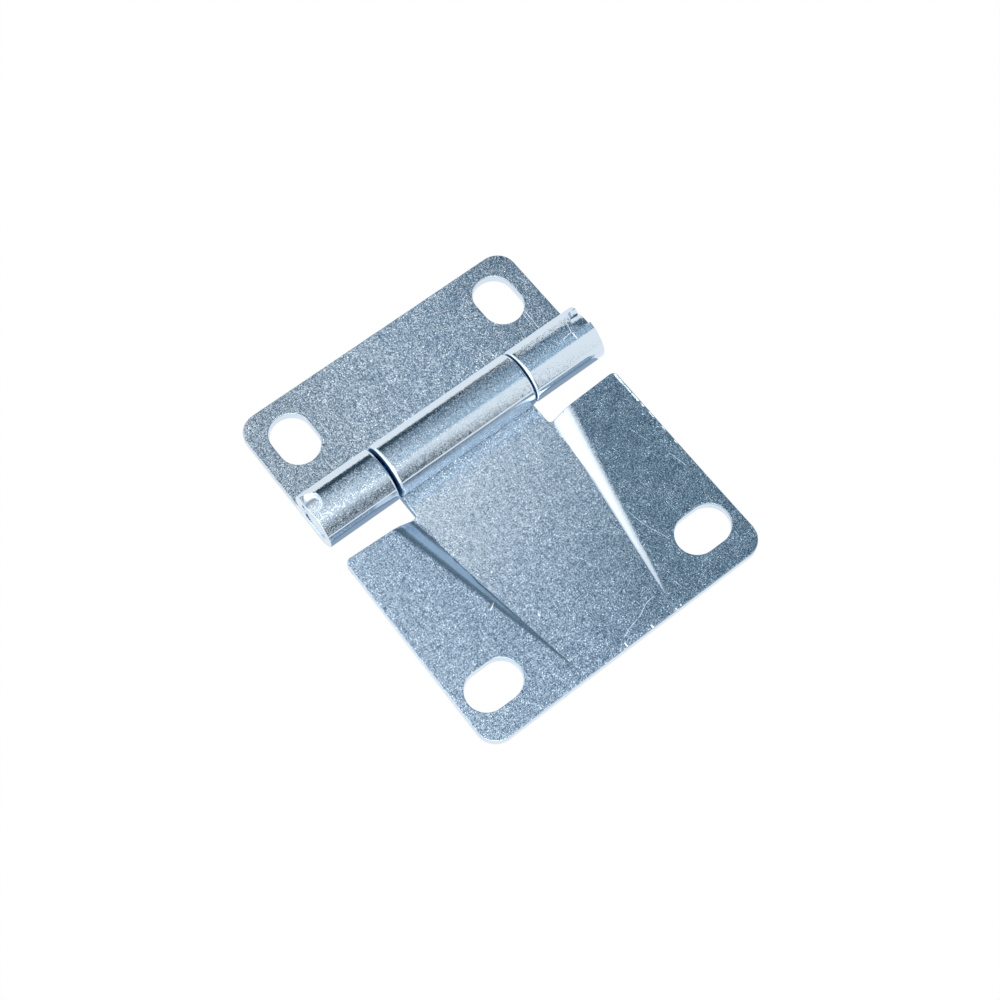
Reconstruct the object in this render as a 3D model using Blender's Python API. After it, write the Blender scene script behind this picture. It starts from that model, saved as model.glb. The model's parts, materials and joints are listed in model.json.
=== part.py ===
"""Garage door hinge: two leaves of pressed steel sheet, rolled round one staked pin.

X runs along the pin, +Y points to the small leaf and +Z is up. The hinge lies open and
flat on z = 0, with the origin under the middle of its outline.
"""

from math import acos, atan2, cos, hypot, pi, radians, sin, tan

import bmesh
import bpy
from mathutils import Matrix, Vector

# Sheet and pin, in metres.
sheet = 0.0020
pin_radius = 0.0034
pin_clearance = 0.0003
pin_end_chamfer = 0.0005
pin_end_inset = 0.0003

# Leaves: overall width, reach from the pin's axis, and blanked corners.
leaf_width = 0.0650
small_leaf_reach = 0.0272
large_leaf_reach = 0.0541
leaf_corner_radius = 0.0042
wing_corner_radius = 0.0012
notch_corner_radius = 0.0005
neck_corner_radius = 0.0008

# Knuckles: the centre one, its side clearance, and the gap that each roll's end leaves.
centre_knuckle_length = 0.0310
knuckle_side_gap = 0.0014
roll_end_gap = 0.0006
cutout_clearance = 0.0013

# Slots with round ends, placed from the edges.
slot_length = 0.0115
slot_width = 0.0083
small_slot_from_side = 0.0078
small_slot_from_end = 0.0092
large_slot_from_side = 0.0078
large_slot_from_end = 0.0094

# Pressed centre panel: the wings stand above it at the back and meet it near the front.
wing_rise = 0.0016
wing_clearance = 0.0040
wing_back_sweep = 0.0006
wing_draw_in = 0.0003
panel_shoulder = 0.0018
panel_half_width_front = 0.0106
wall_width_back = 0.0031
wall_width_front = 0.0006
press_front_margin = 0.0024
wall_bend_start = 0.6

# Staked ends: a round-nosed punch drives the outer knuckles into the ends of the pin.
stake_reach = 0.0028
stake_depth = 0.0011
stake_half_width = 0.0021
stake_wall = 0.0009
stake_behind_top = radians(14)

# How finely round shapes are cut, and the edge angle above which they aren't shaded smooth.
roll_steps = 44
corner_steps = 8
slot_steps = 10
stake_steps = 6
wall_bend_steps = 5
pin_sides = 48
pin_chamfer_steps = 2
sharp_angle = radians(30)

# Sizes that follow from the ones above.
bore_radius = pin_radius + pin_clearance
barrel_radius = bore_radius + sheet
neutral_radius = barrel_radius - sheet / 2
half_width = leaf_width / 2
knuckle_half = centre_knuckle_length / 2
cutout_half = knuckle_half + knuckle_side_gap
roll_angle = 2 * pi - acos(1 - (sheet + roll_end_gap) / barrel_radius)
roll_length = roll_angle * neutral_radius
cutout_from_axis = barrel_radius + cutout_clearance
wing_back_from_axis = barrel_radius + wing_clearance
panel_half_width_back = knuckle_half + panel_shoulder
wall_bend_share = 2 * (1 - wall_bend_start)
pin_half_length = half_width - pin_end_inset
axis_y = (large_leaf_reach - small_leaf_reach) / 2
press_front = press_front_margin - large_leaf_reach
press_length = -wing_back_from_axis - press_front


def rounded_outline(corners):
    """Return the points round a polygon of (x, y, radius) corners, each turned to an arc."""
    points = []
    for i, (x, y, radius) in enumerate(corners):
        here = Vector((x, y))
        if radius == 0:
            points.append(here)
            continue
        before = (Vector(corners[i - 1][:2]) - here).normalized()
        after = (Vector(corners[(i + 1) % len(corners)][:2]) - here).normalized()
        half = before.angle(after) / 2
        centre = here + (before + after).normalized() * radius / sin(half)
        start = here + before * radius / tan(half) - centre
        end = here + after * radius / tan(half) - centre
        first = atan2(start.y, start.x)
        turn = (atan2(end.y, end.x) - first + pi) % (2 * pi) - pi
        for k in range(corner_steps + 1):
            angle = first + turn * k / corner_steps
            points.append(centre + radius * Vector((cos(angle), sin(angle))))
    return points


def slot_outline(x, y, long_way):
    """Return the points round one slot: two half circles, joined by flats along long_way."""
    across = long_way.orthogonal()
    radius = slot_width / 2
    points = []
    for end in (1, -1):
        centre = Vector((x, y)) + end * (slot_length / 2 - radius) * long_way
        for k in range(slot_steps + 1):
            angle = pi * k / slot_steps
            points.append(centre + end * radius * (across * cos(angle) + long_way * sin(angle)))
    return points


def mirrored(corners):
    """Complete an outline given down its +X side with the same corners on the -X side."""
    return corners + [(-x, y, radius) for x, y, radius in reversed(corners)]


def punch_blank(name, outlines):
    """Punch a flat blank from the sheet and return it as a bmesh, from z = 0 to the sheet."""
    curve = bpy.data.curves.new(name, "CURVE")
    curve.dimensions = "2D"
    curve.fill_mode = "BOTH"
    curve.extrude = sheet / 2
    for outline in outlines:
        spline = curve.splines.new("POLY")
        spline.points.add(len(outline) - 1)
        for point, place in zip(spline.points, outline):
            point.co = (place.x, place.y, 0, 1)
        spline.use_cyclic_u = True
    flat = bpy.data.objects.new(name, curve)
    parts.objects.link(flat)
    depsgraph = bpy.context.evaluated_depsgraph_get()
    mesh = bpy.data.meshes.new_from_object(flat.evaluated_get(depsgraph))
    bpy.data.objects.remove(flat)
    bpy.data.curves.remove(curve)
    bm = bmesh.new()
    bm.from_mesh(mesh)
    bpy.data.meshes.remove(mesh)
    bmesh.ops.remove_doubles(bm, verts=bm.verts, dist=1e-7)
    bmesh.ops.recalc_face_normals(bm, faces=bm.faces)
    bmesh.ops.translate(bm, verts=bm.verts, vec=(0, 0, sheet / 2))
    return bm


def score(bm, point, direction):
    """Cut the blank's faces along a straight line in plan, so that it can bend there."""
    geometry = bm.verts[:] + bm.edges[:] + bm.faces[:]
    across = Vector((-direction[1], direction[0], 0))
    bmesh.ops.bisect_plane(bm, geom=geometry, dist=1e-7, plane_co=(*point, 0), plane_no=across)


def score_roll(bm):
    """Cut the strip that is rolled into a knuckle at every step of the roll."""
    for k in range(roll_steps):
        score(bm, (0, roll_length * k / roll_steps), (1, 0))


def rolled(s, height, pressed_in=0.0):
    """Place a point of the blank beside and above the pin's axis.

    s is the distance along the blank past the line under the pin. Up to that line the
    sheet is flat, and after it the sheet follows the barrel round.
    """
    if s <= 0:
        return s, height - barrel_radius
    angle = s / neutral_radius
    radius = barrel_radius - height - pressed_in
    return radius * sin(angle), -radius * cos(angle)


def stake_mark(x, angle, margin=0.0):
    """Return how deep the staking punch goes at this place, angle round from under the pin.

    The punch's nose is round and points along the pin, away from its end. The margin is
    added all round it.
    """
    past_nose = half_width - abs(x) - (stake_reach - stake_half_width)
    around = (angle - pi - stake_behind_top) * barrel_radius
    inside = stake_half_width + margin - hypot(max(past_nose, 0.0), around)
    share = min(max(inside / stake_wall, 0.0), 1.0)
    return stake_depth * share ** 2 * (3 - 2 * share)


def score_stakes(bm):
    """Cut a knuckle or the pin across at every step of the two stake marks."""
    for side in (1, -1):
        for k in range(stake_steps):
            score(bm, (side * (half_width - stake_reach * (1 - k / stake_steps)), 0), (0, 1))


def wall_line(share, front_to_back):
    """Return the half width at which this share of the wall's width lies."""
    panel = panel_half_width_front + front_to_back * (panel_half_width_back - panel_half_width_front)
    wall = wall_width_front + front_to_back * (wall_width_back - wall_width_front)
    return panel + share * wall


def wall_height(share):
    """Return the wall's height, 0 to 1: straight from the panel, then bent over to the wing."""
    if share <= wall_bend_start:
        return max(share, 0.0)
    past = min(share - wall_bend_start, wall_bend_share)
    return wall_bend_start + past - past ** 2 / (2 * wall_bend_share)


def wing_lift(x, y):
    """Return how far the press lifts the sheet above the centre panel's level."""
    front_to_back = (y - press_front) / press_length
    if front_to_back <= 0:
        return 0.0
    panel = wall_line(0, front_to_back)
    share = (abs(x) - panel) / (wall_line(1, front_to_back) - panel)
    return wing_rise * front_to_back * wall_height(share)


def finish(name, bm, material, parent):
    """Turn a formed bmesh into a named object on the pin's axis, shaded smooth on its rolls."""
    mesh = bpy.data.meshes.new(name)
    bm.to_mesh(mesh)
    bm.free()
    mesh.shade_smooth()
    mesh.set_sharp_from_angle(angle=sharp_angle)
    mesh.materials.append(material)
    leaf = bpy.data.objects.new(name, mesh)
    parts.objects.link(leaf)
    leaf.parent = parent
    return leaf


def make_material(name, colour, metallic, roughness):
    """Make a Principled material of one colour."""
    material = bpy.data.materials.new(name)
    material.use_nodes = True
    shader = material.node_tree.nodes["Principled BSDF"]
    shader.inputs["Base Color"].default_value = (*colour, 1)
    shader.inputs["Metallic"].default_value = metallic
    shader.inputs["Roughness"].default_value = roughness
    material.diffuse_color = (*colour, 1)
    return material


def make_small_leaf(parent):
    """Punch and roll the small leaf: a flat leaf with the two outer knuckles."""
    outline = rounded_outline(mirrored([
        (cutout_half, -cutout_from_axis, notch_corner_radius),
        (cutout_half, roll_length, 0),
        (half_width, roll_length, 0),
        (half_width, -small_leaf_reach, leaf_corner_radius),
    ]))
    slot_x = half_width - small_slot_from_side
    slot_y = small_slot_from_end - small_leaf_reach
    slots = [slot_outline(side * slot_x, slot_y, Vector((0, 1))) for side in (1, -1)]
    bm = punch_blank("small_leaf", [outline, *slots])
    score_roll(bm)
    score_stakes(bm)
    for vertex in bm.verts:
        x, s, height = vertex.co
        across, up = rolled(s, height, stake_mark(x, s / neutral_radius))
        vertex.co = (-x, -across, up)
    zinc = make_material("zinc_plated_small_leaf", (0.36, 0.45, 0.53), 1.0, 0.34)
    return finish("small_leaf", bm, zinc, parent)


def make_large_leaf(parent):
    """Punch, press and roll the large leaf: wings, centre panel, neck and centre knuckle."""
    outline = rounded_outline(mirrored([
        (knuckle_half, roll_length, 0),
        (knuckle_half, -wing_back_from_axis, neck_corner_radius),
        (half_width - wing_draw_in, wing_back_sweep - wing_back_from_axis, wing_corner_radius),
        (half_width, -large_leaf_reach, leaf_corner_radius),
    ]))
    slot_x = half_width - large_slot_from_side
    slot_y = large_slot_from_end - large_leaf_reach
    slots = [slot_outline(side * slot_x, slot_y, Vector((1, 0))) for side in (1, -1)]
    bm = punch_blank("large_leaf", [outline, *slots])
    score_roll(bm)
    score(bm, (0, press_front), (1, 0))
    shares = [0, wall_bend_start / 2]
    shares += [wall_bend_start + wall_bend_share * k / wall_bend_steps for k in range(wall_bend_steps + 1)]
    for share in shares:
        front = wall_line(share, 0)
        back = wall_line(share, 1)
        for side in (1, -1):
            score(bm, (side * front, press_front), (side * (back - front), press_length))
    for vertex in bm.verts:
        x, s, height = vertex.co
        if s < 0:
            height += wing_lift(x, s)
        across, up = rolled(s, height)
        vertex.co = (x, across, up)
    zinc = make_material("zinc_plated_large_leaf", (0.34, 0.43, 0.51), 1.0, 0.34)
    return finish("large_leaf", bm, zinc, parent)


def make_pin(parent):
    """Make the pin: a steel rod with its end edges broken, dented where it is staked."""
    bm = bmesh.new()
    along_x = Matrix.Rotation(pi / 2, 3, "Y")
    bmesh.ops.create_cone(
        bm, cap_ends=True, segments=pin_sides, radius1=pin_radius, radius2=pin_radius,
        depth=2 * pin_half_length,
    )
    bmesh.ops.rotate(bm, verts=bm.verts, matrix=along_x)
    end_edges = [edge for edge in bm.edges if edge.calc_face_angle() > sharp_angle]
    bmesh.ops.bevel(
        bm, geom=end_edges, offset=pin_end_chamfer, segments=pin_chamfer_steps, profile=0.5,
        affect="EDGES",
    )
    score_stakes(bm)
    for vertex in bm.verts:
        x, y, z = vertex.co
        radius = hypot(y, z)
        dent = stake_mark(x, atan2(-y, -z) % (2 * pi), pin_clearance)
        vertex.co = (x, y * (1 - dent / radius), z * (1 - dent / radius))
    zinc = make_material("zinc_plated_pin", (0.40, 0.50, 0.60), 1.0, 0.28)
    return finish("hinge_pin", bm, zinc, parent)


for old in list(bpy.data.objects):
    bpy.data.objects.remove(old, do_unlink=True)

parts = bpy.data.collections.new("garage_door_hinge")
bpy.context.scene.collection.children.link(parts)

pin_axis = bpy.data.objects.new("pin_axis", None)
pin_axis.location = (0, axis_y, barrel_radius)
parts.objects.link(pin_axis)

make_small_leaf(pin_axis)
make_large_leaf(pin_axis)
make_pin(pin_axis)
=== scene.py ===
"""Garage door hinge, dressed: the fine surfaces and zinc finish of its two leaves and pin."""

import json
from math import acos, atan2, cos, hypot, pi, radians, sin, tan

import bmesh
import bpy
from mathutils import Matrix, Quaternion, Vector


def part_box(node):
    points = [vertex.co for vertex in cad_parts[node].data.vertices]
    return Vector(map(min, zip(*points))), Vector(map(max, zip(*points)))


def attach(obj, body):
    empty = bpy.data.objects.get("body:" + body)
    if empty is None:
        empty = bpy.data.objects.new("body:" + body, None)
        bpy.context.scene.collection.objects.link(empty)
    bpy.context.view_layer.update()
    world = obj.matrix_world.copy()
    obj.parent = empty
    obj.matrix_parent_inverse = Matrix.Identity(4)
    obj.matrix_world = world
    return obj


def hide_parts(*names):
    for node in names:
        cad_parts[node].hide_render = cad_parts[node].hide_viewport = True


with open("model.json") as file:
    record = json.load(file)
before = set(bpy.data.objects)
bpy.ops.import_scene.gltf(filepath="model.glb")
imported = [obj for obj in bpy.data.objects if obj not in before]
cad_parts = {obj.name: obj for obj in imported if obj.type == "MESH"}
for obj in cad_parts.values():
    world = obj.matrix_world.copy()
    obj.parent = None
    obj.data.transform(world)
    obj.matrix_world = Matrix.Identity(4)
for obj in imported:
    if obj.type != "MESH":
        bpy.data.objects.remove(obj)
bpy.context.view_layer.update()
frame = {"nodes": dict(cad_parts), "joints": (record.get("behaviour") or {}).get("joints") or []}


# Small leaf.
# One piece of 2 mm steel sheet: blanked with two round-ended slots, its two outer tongues rolled
# into the outer knuckles, and their ends staked into the pin. Zinc plated after rolling.
sheet = 0.0020
top_edge_round = 0.00022
bottom_edge_round = 0.00010
edge_round_steps = 3
sharp_angle = radians(40)
corner_steps = 14
slot_steps = 24
roll_steps = 160
leaf_corner_radius = 0.0042
notch_corner_radius = 0.0005
knuckle_half = 0.01587
cutout_sides = {"left": 0.01665, "right": 0.01625}
cutout_clearance = 0.0013
roll_end_gap = 0.0003
shoulder_steps = 6
shoulder_flattened = 0.5
outer_shoulders = {"left": 0.0004, "right": 0.0007}
slot_length = 0.0115
slot_width = 0.0083
slot_from_side = 0.0078
small_slot_from_end = 0.0092
stake_reach = 0.0031
stake_depth = 0.0008
stake_slope = 0.12
stake_half_width = 0.0025
stake_wall = 0.0003
stake_behind_top = radians(14)
stake_steps = 24

small_low, small_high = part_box("small_leaf")
half_width = small_high.x
barrel_radius = (small_high.z - small_low.z) / 2
axis_y = frame["joints"][0]["pos_m"][1]
small_leaf_reach = small_high.y - axis_y
neutral_radius = barrel_radius - sheet / 2
cutout_from_axis = barrel_radius + cutout_clearance
roll_angle = 2 * pi - acos(1 - (sheet + roll_end_gap) / barrel_radius)
roll_length = roll_angle * neutral_radius


def rounded_outline(corners):
    """Return the points round a polygon of (x, y, radius) corners, each turned to an arc."""
    points = []
    for i, (x, y, radius) in enumerate(corners):
        here = Vector((x, y))
        if radius == 0:
            points.append(here)
            continue
        before = (Vector(corners[i - 1][:2]) - here).normalized()
        after = (Vector(corners[(i + 1) % len(corners)][:2]) - here).normalized()
        half = before.angle(after) / 2
        centre = here + (before + after).normalized() * radius / sin(half)
        start = here + before * radius / tan(half) - centre
        end = here + after * radius / tan(half) - centre
        first = atan2(start.y, start.x)
        turn = (atan2(end.y, end.x) - first + pi) % (2 * pi) - pi
        for k in range(corner_steps + 1):
            angle = first + turn * k / corner_steps
            points.append(centre + radius * Vector((cos(angle), sin(angle))))
    return points


def both_sides(corners, others=None):
    """Complete an outline given down its +X side, with these or the same corners mirrored."""
    return corners + [(-x, y, radius) for x, y, radius in reversed(others or corners)]


def slot_outline(x, y, long_way):
    """Return the points round one slot: two half circles, joined by flats along long_way."""
    across = long_way.orthogonal()
    radius = slot_width / 2
    points = []
    for end in (1, -1):
        centre = Vector((x, y)) + end * (slot_length / 2 - radius) * long_way
        for k in range(slot_steps + 1):
            angle = pi * k / slot_steps
            points.append(centre + end * radius * (across * cos(angle) + long_way * sin(angle)))
    return points


def punch_blank(name, outlines):
    """Punch a flat blank with rounded edges, and return it as a bmesh from z = 0 to the sheet."""
    curve = bpy.data.curves.new(name, "CURVE")
    curve.dimensions = "2D"
    curve.fill_mode = "BOTH"
    curve.extrude = sheet / 2
    for outline in outlines:
        spline = curve.splines.new("POLY")
        spline.points.add(len(outline) - 1)
        for point, place in zip(spline.points, outline):
            point.co = (place.x, place.y, 0, 1)
        spline.use_cyclic_u = True
    flat = bpy.data.objects.new(name, curve)
    bpy.context.scene.collection.objects.link(flat)
    depsgraph = bpy.context.evaluated_depsgraph_get()
    mesh = bpy.data.meshes.new_from_object(flat.evaluated_get(depsgraph))
    bpy.data.objects.remove(flat)
    bpy.data.curves.remove(curve)
    bm = bmesh.new()
    bm.from_mesh(mesh)
    bpy.data.meshes.remove(mesh)
    bmesh.ops.remove_doubles(bm, verts=bm.verts, dist=1e-7)
    bmesh.ops.recalc_face_normals(bm, faces=bm.faces)
    bmesh.ops.translate(bm, verts=bm.verts, vec=(0, 0, sheet / 2))
    bmesh.ops.dissolve_limit(bm, angle_limit=radians(1), verts=[], edges=bm.edges)
    for face in bm.faces:
        face.material_index = int(abs(face.normal.z) < 0.5)
    for level, radius in ((sheet, top_edge_round), (0, bottom_edge_round)):
        rim = [
            edge for edge in bm.edges
            if all(abs(vertex.co.z - level) < 1e-6 for vertex in edge.verts)
            and abs(edge.calc_face_angle(0)) > sharp_angle
        ]
        bmesh.ops.bevel(
            bm, geom=rim, offset=radius, segments=edge_round_steps, profile=0.5, affect="EDGES",
        )
    return bm


def score(bm, point, direction):
    """Cut the blank's faces along a straight line in plan, so that it can bend there."""
    geometry = bm.verts[:] + bm.edges[:] + bm.faces[:]
    across = Vector((-direction[1], direction[0], 0))
    bmesh.ops.bisect_plane(bm, geom=geometry, dist=1e-7, plane_co=(*point, 0), plane_no=across)


def score_roll(bm):
    """Cut the strip that is rolled into a knuckle at every step of the roll."""
    for k in range(roll_steps):
        score(bm, (0, roll_length * k / roll_steps), (1, 0))


def score_shoulder(bm, end, inwards):
    """Cut the knuckle from its end at this x inwards, where the roll has rounded its outer edge."""
    for k in range(1, shoulder_steps + 1):
        score(bm, (end + inwards * k / shoulder_steps, 0), (0, 1))


def shoulder_drop(x, height, end, inwards):
    """Return how far the rounded outer edge of the knuckle's end falls away at this place."""
    size = abs(inwards)
    past = size - (x - end) * (1 if inwards > 0 else -1)
    # The points of the end itself lie past by the whole size, but for rounding.
    if past <= 0 or past > 1.001 * size:
        return 0.0
    drop = size - max(size ** 2 - past ** 2, 0.0) ** 0.5
    return shoulder_flattened * drop * (1 - height / sheet)


def rolled(s, height, pressed_in=0.0):
    """Place a point of the blank beside and above the pin's axis, s past the line under it."""
    if s <= 0:
        return s, height - barrel_radius
    angle = s / neutral_radius
    radius = barrel_radius - height - pressed_in
    return radius * sin(angle), -radius * cos(angle)


def stake_mark(x, angle):
    """Return how deep the staking punch goes at this place, angle round from under the pin."""
    past_nose = half_width - abs(x) - (stake_reach - stake_half_width)
    around = (angle - pi - stake_behind_top) * barrel_radius
    inside = stake_half_width - hypot(max(past_nose, 0.0), around)
    share = min(max(inside / stake_wall, 0.0), 1.0)
    from_nose = abs(x) - (half_width - stake_reach)
    return (stake_depth + stake_slope * from_nose) * share ** 2 * (3 - 2 * share)


def linear(code):
    """Turn an sRGB hex colour into linear red, green, blue and alpha."""
    parts = [int(code[i:i + 2], 16) / 255 for i in (1, 3, 5)]
    return (*(c / 12.92 if c <= 0.04045 else ((c + 0.055) / 1.055) ** 2.4 for c in parts), 1.0)


def add(tree, kind, inputs=None, **settings):
    """Add a node, give it its settings, and fill its inputs with values or other outputs.

    A Mix node's inputs are numbered: 4 and 5 take its vectors, 6 and 7 its colours.
    """
    node = tree.nodes.new(kind)
    for name, value in settings.items():
        setattr(node, name, value)
    for socket, value in (inputs or {}).items():
        if isinstance(value, bpy.types.NodeSocket):
            tree.links.new(value, node.inputs[socket])
        else:
            node.inputs[socket].default_value = value
    return node


# Zinc plating with clear blue passivation on pickled sheet. The blue film cools a bright metal,
# and each etched crystal under it is a facet that tilts its own way, most of them by little.
# The crystals are drawn about as coarse as they have to be to show.
zinc_colour = "#d6e4f0"
zinc_roughness = 0.08
crystal_size = 0.00009
crystal_tilt = 3.25
line_width = 0.00022
line_stretch = 7.0
line_tilt = 0.05
noise_middle = (0.5, 0.5, 0.5)


def crystal_leans(tree, place, streak):
    """Return how the crystals lean, drawn out along Y by this factor, with the mill's fine lines."""
    drawn_out = add(tree, "ShaderNodeVectorMath", {
        0: place, 1: (1, 1 / streak, 1),
    }, operation="MULTIPLY").outputs[0]
    crystals = add(tree, "ShaderNodeTexVoronoi", {
        "Vector": drawn_out, "Scale": 1 / crystal_size,
    }).outputs["Color"]
    lean = add(tree, "ShaderNodeVectorMath", {
        0: crystals, 1: noise_middle,
    }, operation="SUBTRACT").outputs[0]
    squared = add(tree, "ShaderNodeVectorMath", {0: lean, 1: lean}, operation="MULTIPLY").outputs[0]
    leans = add(tree, "ShaderNodeVectorMath", {0: squared, 1: lean}, operation="MULTIPLY").outputs[0]
    for stretch in ((1, 1 / line_stretch, 1), (1 / line_stretch, 1, 1)):
        along = add(tree, "ShaderNodeVectorMath", {
            0: place, 1: stretch,
        }, operation="MULTIPLY").outputs[0]
        lines = add(tree, "ShaderNodeTexNoise", {
            "Vector": along, "Scale": 1 / line_width, "Detail": 1.0,
        }).outputs["Color"]
        line_lean = add(tree, "ShaderNodeVectorMath", {
            0: lines, 1: noise_middle,
        }, operation="SUBTRACT").outputs[0]
        leans = add(tree, "ShaderNodeVectorMath", {
            0: line_lean, 1: (line_tilt, line_tilt, line_tilt), 2: leans,
        }, operation="MULTIPLY_ADD").outputs[0]
    return leans


# The roll die flattens the crystals, so the knuckles mirror the room clearly, most at the back
# and at the front. On the flats the crystals are stronger in some patches than in others.
barrel_skin = 0.0003
burnished_back = 0.16
burnished_top = 0.46
burnished_front = {"left": 0.36, "right": 0.10}
back_down_to = 0.32
top_up_from = 0.22
top_down_to = -0.24
front_up_from = -0.34
patch_size = 0.003
patch_low = 0.35
patch_high = 0.65
patch_least = 0.72
patch_most = 1.16


def crystal_share(tree, x, place, facing_back, from_axis):
    """Return how much of their tilt the crystals have at this place."""
    front_share = add(tree, "ShaderNodeMapRange", {
        "Value": x, "From Min": -half_width, "From Max": half_width,
        "To Min": burnished_front["left"], "To Max": burnished_front["right"],
    }).outputs[0]
    top_share = add(tree, "ShaderNodeMapRange", {
        "Value": facing_back, "From Min": back_down_to, "From Max": top_up_from,
        "To Min": burnished_back, "To Max": burnished_top,
    }).outputs[0]
    burnished = add(tree, "ShaderNodeMapRange", {
        "Value": facing_back, "From Min": top_down_to, "From Max": front_up_from,
        "To Min": top_share, "To Max": front_share,
    }).outputs[0]
    patches = add(tree, "ShaderNodeTexNoise", {
        "Vector": place, "Scale": 1 / patch_size, "Detail": 2.0,
    }).outputs[0]
    patchy = add(tree, "ShaderNodeMapRange", {
        "Value": patches, "From Min": patch_low, "From Max": patch_high,
        "To Min": patch_least, "To Max": patch_most,
    }).outputs[0]
    return add(tree, "ShaderNodeMapRange", {
        "Value": from_axis, "From Min": barrel_radius, "From Max": barrel_radius + barrel_skin,
        "To Min": burnished, "To Max": patchy,
    }).outputs[0]


# The roll's last stretch stays flat at the back of the barrel, and the die leaves a line along
# its front. Both are smooth, and so is the barrel's foot below the line.
flat_end_angle = radians(54)
flat_end = (0.0, cos(flat_end_angle), sin(flat_end_angle))
die_line_centre = 0.870
die_line_outer = 0.912
die_line_width = 0.016
die_line_facing = (0.07, -0.5, 0.863)
outer_knuckle_from = knuckle_half + 0.0002
foot_softness = 0.01
die_grain_left = 0.1


def die_marked(tree, x, surface, facing_back, facing_up, on_barrel):
    """Return the surface's direction with the die's marks, and how much of the grain they leave."""
    above = add(tree, "ShaderNodeMath", {0: facing_up, 1: 0.0}, operation="GREATER_THAN").outputs[0]
    upper = add(tree, "ShaderNodeMath", {0: above, 1: on_barrel}, operation="MULTIPLY").outputs[0]
    past_roll = add(tree, "ShaderNodeMath", {
        0: facing_back, 1: flat_end[1],
    }, operation="GREATER_THAN").outputs[0]
    on_flat = add(tree, "ShaderNodeMath", {0: past_roll, 1: upper}, operation="MULTIPLY").outputs[0]
    surface = add(tree, "ShaderNodeMix", {
        "Factor": on_flat, 4: surface, 5: flat_end,
    }, data_type="VECTOR").outputs[1]
    out = add(tree, "ShaderNodeMath", {0: x}, operation="ABSOLUTE").outputs[0]
    outer = add(tree, "ShaderNodeMath", {0: out, 1: outer_knuckle_from}, operation="GREATER_THAN").outputs[0]
    line = add(tree, "ShaderNodeMapRange", {
        "Value": outer, "To Min": die_line_centre, "To Max": die_line_outer,
    }).outputs[0]
    past_line = add(tree, "ShaderNodeMath", {0: facing_back, 1: line}, operation="ADD").outputs[0]
    off_line = add(tree, "ShaderNodeMath", {0: past_line}, operation="ABSOLUTE").outputs[0]
    near_line = add(tree, "ShaderNodeMapRange", {
        "Value": off_line, "From Min": die_line_width, "From Max": die_line_width / 2,
    }).outputs[0]
    on_line = add(tree, "ShaderNodeMath", {0: near_line, 1: upper}, operation="MULTIPLY").outputs[0]
    surface = add(tree, "ShaderNodeMix", {
        "Factor": on_line, 4: surface, 5: die_line_facing,
    }, data_type="VECTOR").outputs[1]
    below_line = add(tree, "ShaderNodeMapRange", {
        "Value": past_line, "From Min": 0.0, "From Max": -foot_softness,
    }).outputs[0]
    on_foot = add(tree, "ShaderNodeMath", {0: below_line, 1: on_barrel}, operation="MULTIPLY").outputs[0]
    smooth = add(tree, "ShaderNodeMath", {0: on_foot, 1: on_flat}, operation="MAXIMUM").outputs[0]
    smooth = add(tree, "ShaderNodeMath", {0: smooth, 1: on_line}, operation="MAXIMUM").outputs[0]
    grain_left = add(tree, "ShaderNodeMapRange", {
        "Value": smooth, "To Min": 1.0, "To Max": die_grain_left,
    }).outputs[0]
    return surface, grain_left


def zinc_plated_sheet(name, streak, worked):
    """Make the finish of a piece. What worked returns is its colour, its lean and the grain left."""
    material = bpy.data.materials.new(name)
    material.use_nodes = True
    tree = material.node_tree
    shader = tree.nodes["Principled BSDF"]
    shader.inputs["Metallic"].default_value = 1.0
    shader.inputs["Roughness"].default_value = zinc_roughness
    place = add(tree, "ShaderNodeTexCoord").outputs["Object"]
    x = add(tree, "ShaderNodeSeparateXYZ", {0: place}).outputs["X"]
    surface = add(tree, "ShaderNodeNewGeometry").outputs["Normal"]
    facing_back, facing_up = add(tree, "ShaderNodeSeparateXYZ", {0: surface}).outputs[1:]
    off_axis = add(tree, "ShaderNodeVectorMath", {
        0: place, 1: (0, axis_y, barrel_radius),
    }, operation="SUBTRACT").outputs[0]
    across_axis = add(tree, "ShaderNodeVectorMath", {
        0: off_axis, 1: (0, 1, 1),
    }, operation="MULTIPLY").outputs[0]
    from_axis = add(tree, "ShaderNodeVectorMath", {0: across_axis}, operation="LENGTH").outputs["Value"]
    on_barrel = add(tree, "ShaderNodeMath", {
        0: from_axis, 1: barrel_radius + barrel_skin,
    }, operation="LESS_THAN").outputs[0]
    share = crystal_share(tree, x, place, facing_back, from_axis)
    surface, die_grain = die_marked(tree, x, surface, facing_back, facing_up, on_barrel)
    colour, lean, worked_grain = worked(tree, place)
    tree.links.new(colour, shader.inputs["Base Color"])
    surface = add(tree, "ShaderNodeVectorMath", {0: surface, 1: lean}, operation="ADD").outputs[0]
    tilt = add(tree, "ShaderNodeMath", {0: share, 1: crystal_tilt}, operation="MULTIPLY").outputs[0]
    tilted = crystal_leans(tree, place, streak)
    for grain in (tilt, die_grain, worked_grain):
        tilted = add(tree, "ShaderNodeVectorMath", {0: tilted, "Scale": grain}, operation="SCALE").outputs[0]
    facet = add(tree, "ShaderNodeVectorMath", {0: surface, 1: tilted}, operation="ADD").outputs[0]
    facing = add(tree, "ShaderNodeVectorMath", {0: facet}, operation="NORMALIZE").outputs[0]
    tree.links.new(facing, shader.inputs["Normal"])
    return material


# The sheared edge of the sheet: torn by the blanking die, then plated like the rest, so it is
# rougher than the rolled faces. Where it faces a gap of the barrel it gets a painted shade, dark blue and
# matt.
sheared_roughness = 0.22
tear_size = 0.00025
tear_height = 0.00003
tear_stretch = 0.3
gap_colour = "#2a659a"
gap_roughness = 0.7
gap_gloss = 0.2


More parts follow.
